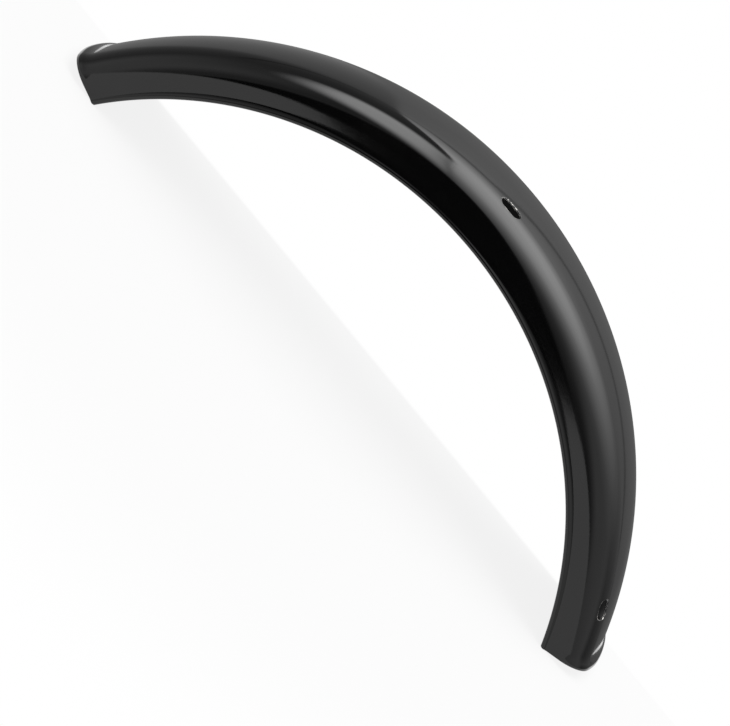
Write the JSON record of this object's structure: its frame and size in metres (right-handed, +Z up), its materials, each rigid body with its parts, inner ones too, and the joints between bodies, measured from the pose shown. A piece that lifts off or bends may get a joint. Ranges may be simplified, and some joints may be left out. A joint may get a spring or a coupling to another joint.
{
  "type": "scooter front fender",
  "caption": "Narrow pressed-steel front fender blade for a small scooter: an arched channel with rolled hems, flared end lips and slotted fixing holes on one shoulder.",
  "frame": {"origin": "middle of the plane that the four hem corners stand on, below the top of the arch", "axes": "+Z up through the top of the arch, +X along the wheel's travel towards the end with the second slot, Y along the wheel axle with the slots on the -Y side"},
  "size_m": [0.4442, 0.0972, 0.1428],
  "materials": {
    "black_paint": "gloss black enamel over steel, bare bright metal at the chipped slot edges"
  },
  "bodies": {
    "root": {"fender": "black_paint"}
  },
  "joints": []
}
